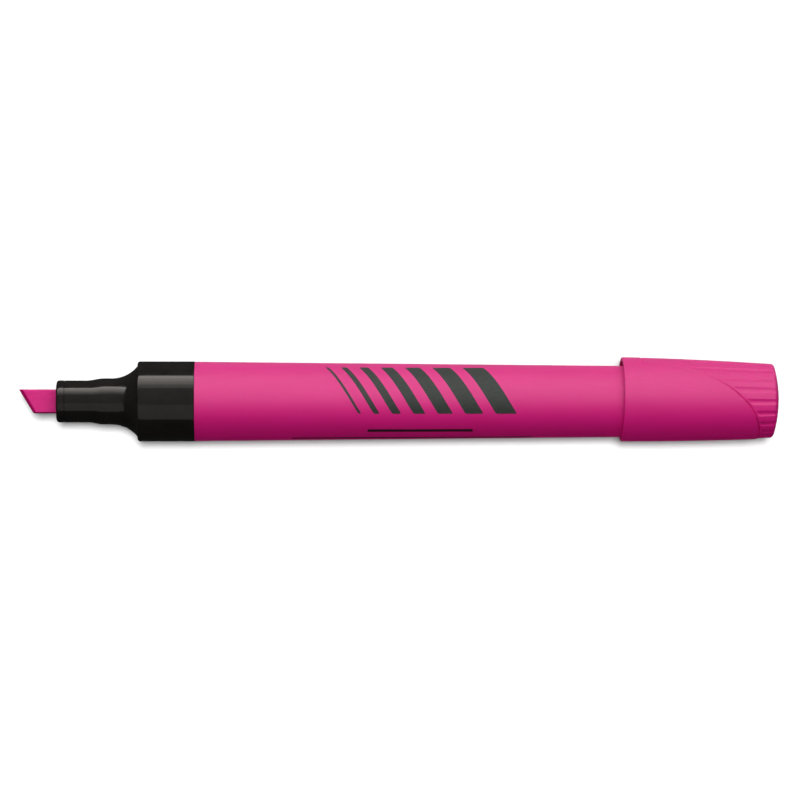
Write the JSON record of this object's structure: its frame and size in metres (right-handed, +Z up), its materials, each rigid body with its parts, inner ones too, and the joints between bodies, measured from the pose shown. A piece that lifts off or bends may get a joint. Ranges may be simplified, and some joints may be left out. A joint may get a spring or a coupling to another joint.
{
  "type": "highlighter pen",
  "caption": "Round chisel-tip highlighter with a black nose section, a tapered barrel and a half-fluted cap posted on its tail.",
  "frame": {"origin": "on the surface that the pen lies on, under the middle of the pen's own axis; the posted cap sits 0.44 mm to the +Y side at its rim, so the middle of the bounding box is 0.44 mm from the origin", "axes": "+X along the pen from the nib to the cap, +Z up, away from the surface it lies on, +Y towards the long corner of the chisel"},
  "size_m": [0.1518, 0.0169, 0.0169],
  "materials": {
    "barrel_plastic": "satin moulded pink plastic",
    "nose_plastic": "glossy moulded black plastic",
    "nib_felt": "bonded polyester fibre soaked in pink ink",
    "reservoir_fibre": "soft fibre bundle soaked in pink ink",
    "wrap_film": "thin clear-white film",
    "cap_plastic": "satin moulded pink plastic",
    "liner_plastic": "soft natural polyethylene"
  },
  "bodies": {
    "pen": {"barrel": "barrel_plastic", "nose_section": "nose_plastic", "nib": "nib_felt", "ink_reservoir": "reservoir_fibre", "reservoir_wrap": "wrap_film"},
    "cap_sleeve": {"cap_liner": "liner_plastic"},
    "cap": {"cap_shell": "cap_plastic"}
  },
  "joints": [
    {"name": "cap_slide", "type": "slide", "parent": "pen", "child": "cap_sleeve", "axis": [1, 0, 0], "range_m": [0, 0.02]},
    {"name": "cap_twist", "type": "hinge", "parent": "cap_sleeve", "child": "cap", "pos_m": [0.04448, 0.00044, 0.00843], "axis": [0.9999, -0.0105, 0], "continuous": true}
  ]
}
